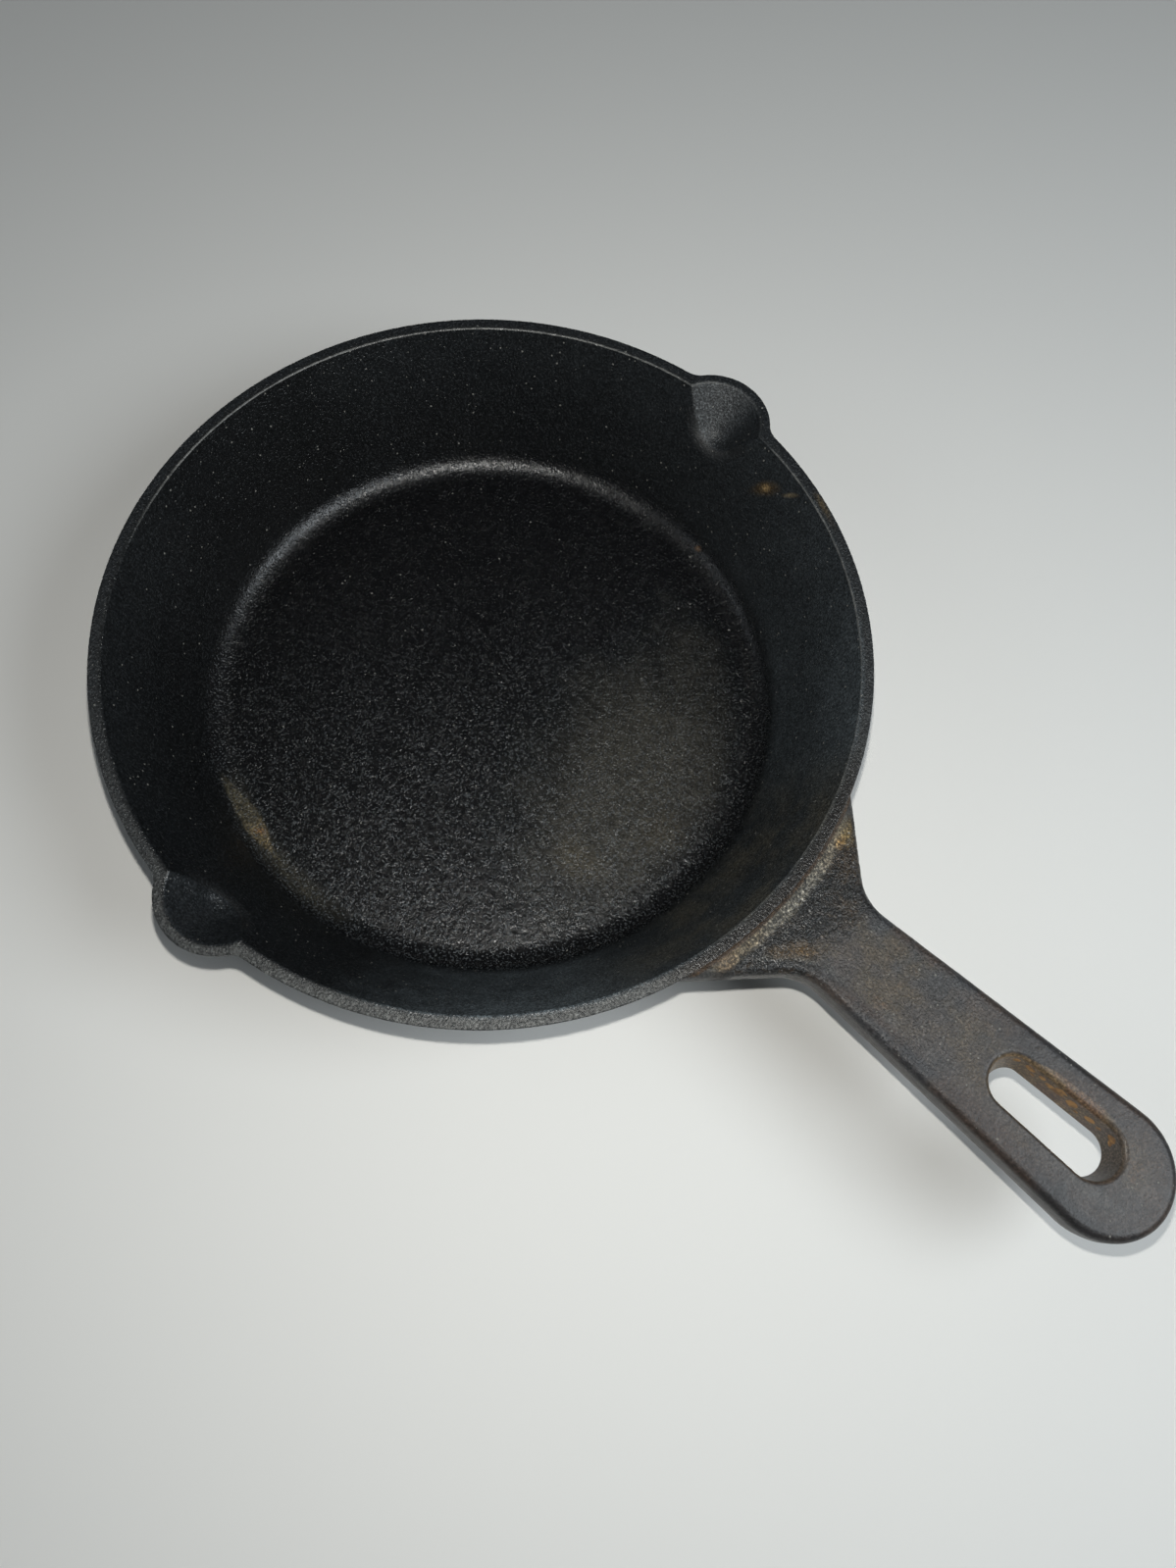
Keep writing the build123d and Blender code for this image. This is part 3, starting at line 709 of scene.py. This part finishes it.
# ------------------------------------------------------------------ texture map: the upper and the lower skin, each laid out flat
def skin(height, depth, turn, flip):
    """Plan positions, with leaning walls let out to their own length and the handle's sides folded out."""
    reach = (r + 0.63 * height * ramp(r, 20, 50)) / np.maximum(r, 1e-6)
    fold = ramp(x, 77, 84) * depth * np.where(np.abs(slot_d + 1.5) < 2.2, 0.40, 0.90)
    u, v = x * reach + nor[:, 0] * fold, (y * reach + nor[:, 1] * fold) * flip
    c, k = math.cos(math.radians(turn)), math.sin(math.radians(turn))
    return np.stack([u * c - v * k, u * k + v * c], 1)


upper = skin(z - FLOOR_T, np.clip(ZT - z, 0, 8), -22.5, 1.0)
lower = skin(z, np.clip(z - ZL, 0, 8), 157.5, -1.0)
first = np.empty(len(casting.data.polygons), np.int32)
count = np.empty(len(first), np.int32)
corner = np.empty(len(casting.data.loops), np.int32)
casting.data.polygons.foreach_get("loop_start", first)
casting.data.polygons.foreach_get("loop_total", count)
casting.data.loops.foreach_get("vertex_index", corner)
up = np.repeat(np.add.reduceat(nor[corner, 2], first) > 0, count)
upper, lower = upper[corner] + 101.5, lower[corner] + 237.5
uv = np.where(up[:, None], upper, lower) / 339.0
layer = casting.data.uv_layers.new(name="OFBake")
layer.uv.foreach_set("vector", uv.astype(np.float32).ravel())


# ------------------------------------------------------------------ material
def material(name):
    m = bpy.data.materials.new(name)
    m.use_nodes = True
    t = m.node_tree
    t.nodes.clear()
    return m, t


def node(t, kind, **put):
    n = t.nodes.new(kind)
    for k, v in put.items():
        if k.startswith("in_"):
            key = k[3:]
            n.inputs[int(key) if key.isdigit() else key.replace("_", " ")].default_value = v
        else:
            setattr(n, k, v)
    return n


def wire(t, *pairs):
    for a, b in pairs:
        t.links.new(a, b)


def remap(t, value, lo, hi, to_lo=0.0, to_hi=1.0):
    n = node(t, "ShaderNodeMapRange", interpolation_type="SMOOTHSTEP")
    for k, v in zip((1, 2, 3, 4), (lo, hi, to_lo, to_hi)):
        n.inputs[k].default_value = v
    t.links.new(value, n.inputs[0])
    return n.outputs[0]


def math_node(t, op, a, b=None, c=None):
    n = node(t, "ShaderNodeMath", operation=op)
    for k, v in enumerate((a, b, c)):
        if v is None:
            continue
        if isinstance(v, (int, float)):
            n.inputs[k].default_value = v
        else:
            t.links.new(v, n.inputs[k])
    return n.outputs[0]


def mix(t, w, a, b, kind="MIX"):
    n = node(t, "ShaderNodeMix", data_type="RGBA", blend_type=kind)
    for k, v in ((0, w), (6, a), (7, b)):
        if isinstance(v, (int, float)):
            n.inputs[k].default_value = v
        elif isinstance(v, tuple):
            n.inputs[k].default_value = (*v, 1)
        else:
            t.links.new(v, n.inputs[k])
    return n.outputs[2]


iron, t = material("cast_iron_seasoned")
out = node(t, "ShaderNodeOutputMaterial")
bsdf = node(t, "ShaderNodeBsdfPrincipled")
wire(t, (bsdf.outputs[0], out.inputs[0]))
coord = node(t, "ShaderNodeTexCoord").outputs["Object"]
a_tint = node(t, "ShaderNodeAttribute", attribute_name="iron_tint")
a_rust = node(t, "ShaderNodeAttribute", attribute_name="iron_rust").outputs["Fac"]
a_dull = node(t, "ShaderNodeAttribute", attribute_name="iron_dull").outputs["Fac"]
a_pebble = node(t, "ShaderNodeAttribute", attribute_name="iron_pebble").outputs["Fac"]
a_speck = node(t, "ShaderNodeAttribute", attribute_name="iron_speck").outputs["Fac"]
a_grit = node(t, "ShaderNodeAttribute", attribute_name="iron_grit").outputs["Fac"]
a_dust_glint = node(t, "ShaderNodeAttribute", attribute_name="iron_dust_glint").outputs["Fac"]
a_across = node(t, "ShaderNodeAttribute", attribute_name="iron_across").outputs["Fac"]
a_worn_highlight = node(t, "ShaderNodeAttribute", attribute_name="iron_worn_highlight").outputs["Fac"]


def tex(scale, detail=2.0, rough=0.55):
    n = node(t, "ShaderNodeTexNoise", in_Scale=scale, in_Detail=detail, in_Roughness=rough)
    t.links.new(coord, n.inputs["Vector"])
    return n.outputs[0]


grain = tex(1500.0, 2.5, 0.6)          # sand grain, about 0.7 mm and finer
sand = tex(2300.0, 1.5, 0.6)
pips = tex(2250.0, 1.0, 0.5)           # single raised grains, about 0.5 mm apart
coarse = tex(620.0, 2.0, 0.55)
patch = tex(210.0, 4.0, 0.6)
# colour: the tint laid down above, broken up by the grain
swing = math_node(t, "MULTIPLY_ADD", a_grit, 9.0, 1.5)
shade = math_node(t, "POWER", 2.0, math_node(t, "MULTIPLY", math_node(t, "SUBTRACT", sand, 0.5), swing))
shade = math_node(t, "ADD", shade, math_node(t, "MULTIPLY", math_node(t, "SUBTRACT", patch, 0.5), 0.5))
shade = math_node(t, "MULTIPLY", shade, remap(t, grain, 0.32, 0.68, 0.78, 1.18))
colour = node(t, "ShaderNodeVectorMath", operation="SCALE")
wire(t, (a_tint.outputs["Color"], colour.inputs[0]), (shade, colour.inputs["Scale"]))
colour = colour.outputs[0]
# raised grains get a grey-blue colour: partly dust, partly painted glints, more of them on the floor towards the key
# light
dust_glint_tips = math_node(t, "MULTIPLY", remap(t, pips, 0.55, 0.66), a_dust_glint)
colour = mix(t, dust_glint_tips, colour, (0.066, 0.073, 0.078))
# the bright line along the inner edge of the rim: partly wear, partly painted highlight
off = math_node(t, "ADD", a_across, math_node(t, "MULTIPLY", math_node(t, "SUBTRACT", grain, 0.5), 0.5))
line_w = math_node(t, "MULTIPLY", remap(t, math_node(t, "ABSOLUTE", off), 0.10, 0.30, 1.0, 0.0), a_worn_highlight)
colour = mix(t, math_node(t, "MINIMUM", line_w, 1.0), colour, (0.150, 0.150, 0.142))
# rust flecks
rusty = remap(t, math_node(t, "ADD", a_rust, math_node(t, "MULTIPLY", math_node(t, "SUBTRACT", grain, 0.5), 0.8)), 0.32, 0.62)
rust_colour = mix(t, remap(t, coarse, 0.38, 0.62), (0.19, 0.10, 0.038), (0.46, 0.25, 0.085))
colour = mix(t, rusty, colour, rust_colour)
# sparse pale specks of dust
cell = node(t, "ShaderNodeTexVoronoi", in_Scale=760.0, in_Randomness=1.0)
t.links.new(coord, cell.inputs["Vector"])
sep = node(t, "ShaderNodeSeparateColor")
t.links.new(cell.outputs["Color"], sep.inputs[0])
chosen = math_node(t, "GREATER_THAN", math_node(t, "ADD", sep.outputs[0], a_speck), 1.0)
size = math_node(t, "MULTIPLY", sep.outputs[1], 0.12)
speck = math_node(t, "LESS_THAN", cell.outputs["Distance"], math_node(t, "ADD", size, 0.05))
speck = math_node(t, "MULTIPLY", speck, chosen)
colour = mix(t, math_node(t, "MULTIPLY", speck, 0.75), colour, (0.21, 0.205, 0.185))
wire(t, (colour, bsdf.inputs["Base Color"]))
# gloss: a low sheen where seasoned, dull where bare or rusty
gloss = math_node(t, "ADD", remap(t, a_dull, 0.0, 1.0, 0.27, 0.80), math_node(t, "MULTIPLY", math_node(t, "SUBTRACT", coarse, 0.5), 0.12))
gloss = math_node(t, "ADD", gloss, math_node(t, "MULTIPLY", rusty, 0.25))
gloss = math_node(t, "MINIMUM", math_node(t, "ADD", gloss, math_node(t, "MULTIPLY", speck, 0.4)), 0.95)
wire(t, (gloss, bsdf.inputs["Roughness"]))
bsdf.inputs["Specular IOR Level"].default_value = 0.5
# casting skin in metres of height
height = math_node(t, "MULTIPLY", math_node(t, "MULTIPLY", sand, a_pebble), 0.00011)
height = math_node(t, "ADD", height, math_node(t, "MULTIPLY", math_node(t, "MULTIPLY", remap(t, pips, 0.50, 0.72), a_pebble), 0.00009))
height = math_node(t, "ADD", height, math_node(t, "MULTIPLY", grain, 0.00005))
height = math_node(t, "ADD", height, math_node(t, "MULTIPLY", coarse, 0.00006))
bump = node(t, "ShaderNodeBump", in_Strength=1.0, in_Distance=1.0)
wire(t, (height, bump.inputs["Height"]), (bump.outputs[0], bsdf.inputs["Normal"]))
casting.data.materials.append(iron)

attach(casting, "root")
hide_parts("pan_floor", "side_wall", "pour_spout_left", "pour_spout_right",
            "handle_root", "handle_shank", "handle_eye")

# ------------------------------------------------------------------ ground
bpy.ops.mesh.primitive_plane_add(size=6.0, location=(0, 0, 0))
ground = bpy.context.object
ground.name = "floor_stage"
gm, t = material("pale_floor")
out = node(t, "ShaderNodeOutputMaterial")
gb = node(t, "ShaderNodeBsdfPrincipled", in_Roughness=0.7)
gb.inputs["Base Color"].default_value = (0.81, 0.80, 0.77, 1)
gb.inputs["Specular IOR Level"].default_value = 0.2
t.links.new(gb.outputs[0], out.inputs[0])
ground.data.materials.append(gm)

# ------------------------------------------------------------------ camera
def turn(a, b):
    th = math.hypot(a, b)
    k = np.array([a, b, 0]) / th
    K = np.array([[0, -k[2], k[1]], [k[2], 0, -k[0]], [-k[1], k[0], 0]])
    return np.eye(3) + math.sin(th) * K + (1 - math.cos(th)) * K @ K


az = math.radians(-42.4)       # where the handle points in the view's own axes
Rz = np.array([[math.cos(az), -math.sin(az), 0], [math.sin(az), math.cos(az), 0], [0, 0, 1]])
view = turn(-0.34003788, -0.05338024) @ np.diag([1.0, -1.0, -1.0]) @ Rz
eye = Rz.T @ np.array([0.10070861, -1.36392004, 2.7194748]) * RIM_R / 1000 + np.array([0, 0, H / 1000])
right, down, ahead = view
cam = bpy.data.cameras.new("camera")
cam.sensor_width = 36.0
cam.lens = 1200 / 1599 * 36.0
cam.clip_start, cam.clip_end = 0.01, 20.0
camera = bpy.data.objects.new("camera", cam)
m = Matrix.Identity(4)
for k in range(3):
    m[k][0], m[k][1], m[k][2], m[k][3] = right[k], -down[k], -ahead[k], eye[k]
camera.matrix_world = m
bpy.context.scene.collection.objects.link(camera)
bpy.context.scene.camera = camera


# ------------------------------------------------------------------ light
def lamp(name, at, to, size, watts, colour, spread=180.0):
    L = bpy.data.lights.new(name, "AREA")
    L.shape, L.size, L.energy, L.color = "DISK", size, watts, colour
    L.spread = math.radians(spread)
    o = bpy.data.objects.new(name, L)
    o.location = at
    o.rotation_mode = "QUATERNION"
    o.rotation_quaternion = (Vector(to) - Vector(at)).to_track_quat("-Z", "Y")
    bpy.context.scene.collection.objects.link(o)
    return o


def room(px, py, pz):
    """A place given to the view's right, to its top and up, in metres, in the part's frame."""
    return Vector((*(Rz.T @ np.array([px, py, 0]))[:2], pz))


key_at = Vector(eye) - Vector(down) * 0.018
lamp("key_light", key_at, key_at + Vector(ahead), 0.005, 0.345, (1.0, 0.99, 0.95))
lamp("soft_light", room(0.39, -0.16, 0.42), room(0.26, -0.13, 0.0), 0.34, 1.74, (0.88, 0.95, 1.0))
lamp("fill_light", room(-0.58, -0.02, 0.42), room(-0.2, 0.0, 0.0), 0.34, 0.35, (0.85, 0.93, 1.0))
world = bpy.data.worlds.new("studio")
bpy.context.scene.world = world
world.use_nodes = True
world.node_tree.nodes["Background"].inputs[0].default_value = (0.86, 0.94, 1.0, 1)
world.node_tree.nodes["Background"].inputs[1].default_value = 0.055
bpy.context.scene.view_settings.view_transform = "Standard"
